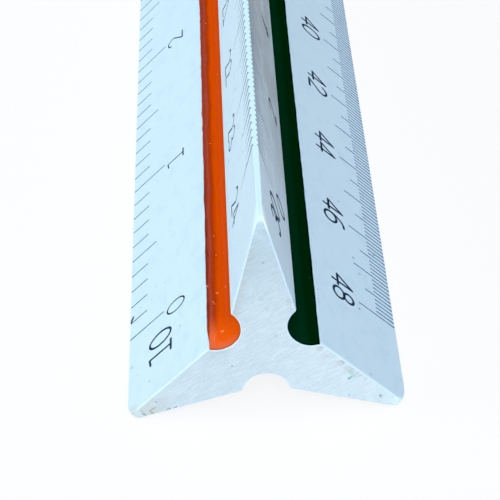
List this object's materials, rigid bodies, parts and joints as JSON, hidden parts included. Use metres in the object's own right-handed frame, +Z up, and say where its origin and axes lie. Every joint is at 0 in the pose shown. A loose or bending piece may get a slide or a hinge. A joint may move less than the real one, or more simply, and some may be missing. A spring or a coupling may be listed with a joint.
{
  "type": "triangular scale ruler",
  "caption": "Triangular engineer's scale of white plastic with engraved graduations and painted grooves, for drawing and measuring to scale.",
  "frame": {"origin": "middle of the bounding box at the surface that the two lower arms rest on", "axes": "+Y along the bar, away from the end that the 10, 30 and 50 scales start from; +Z up through the standing arm; +X across the two lower arms"},
  "size_m": [0.0254, 0.327, 0.022],
  "materials": {
    "plastic": "satin white plastic with engraved, dark-filled marks and painted grooves"
  },
  "bodies": {
    "root": {"scale_body": "plastic"}
  },
  "joints": []
}
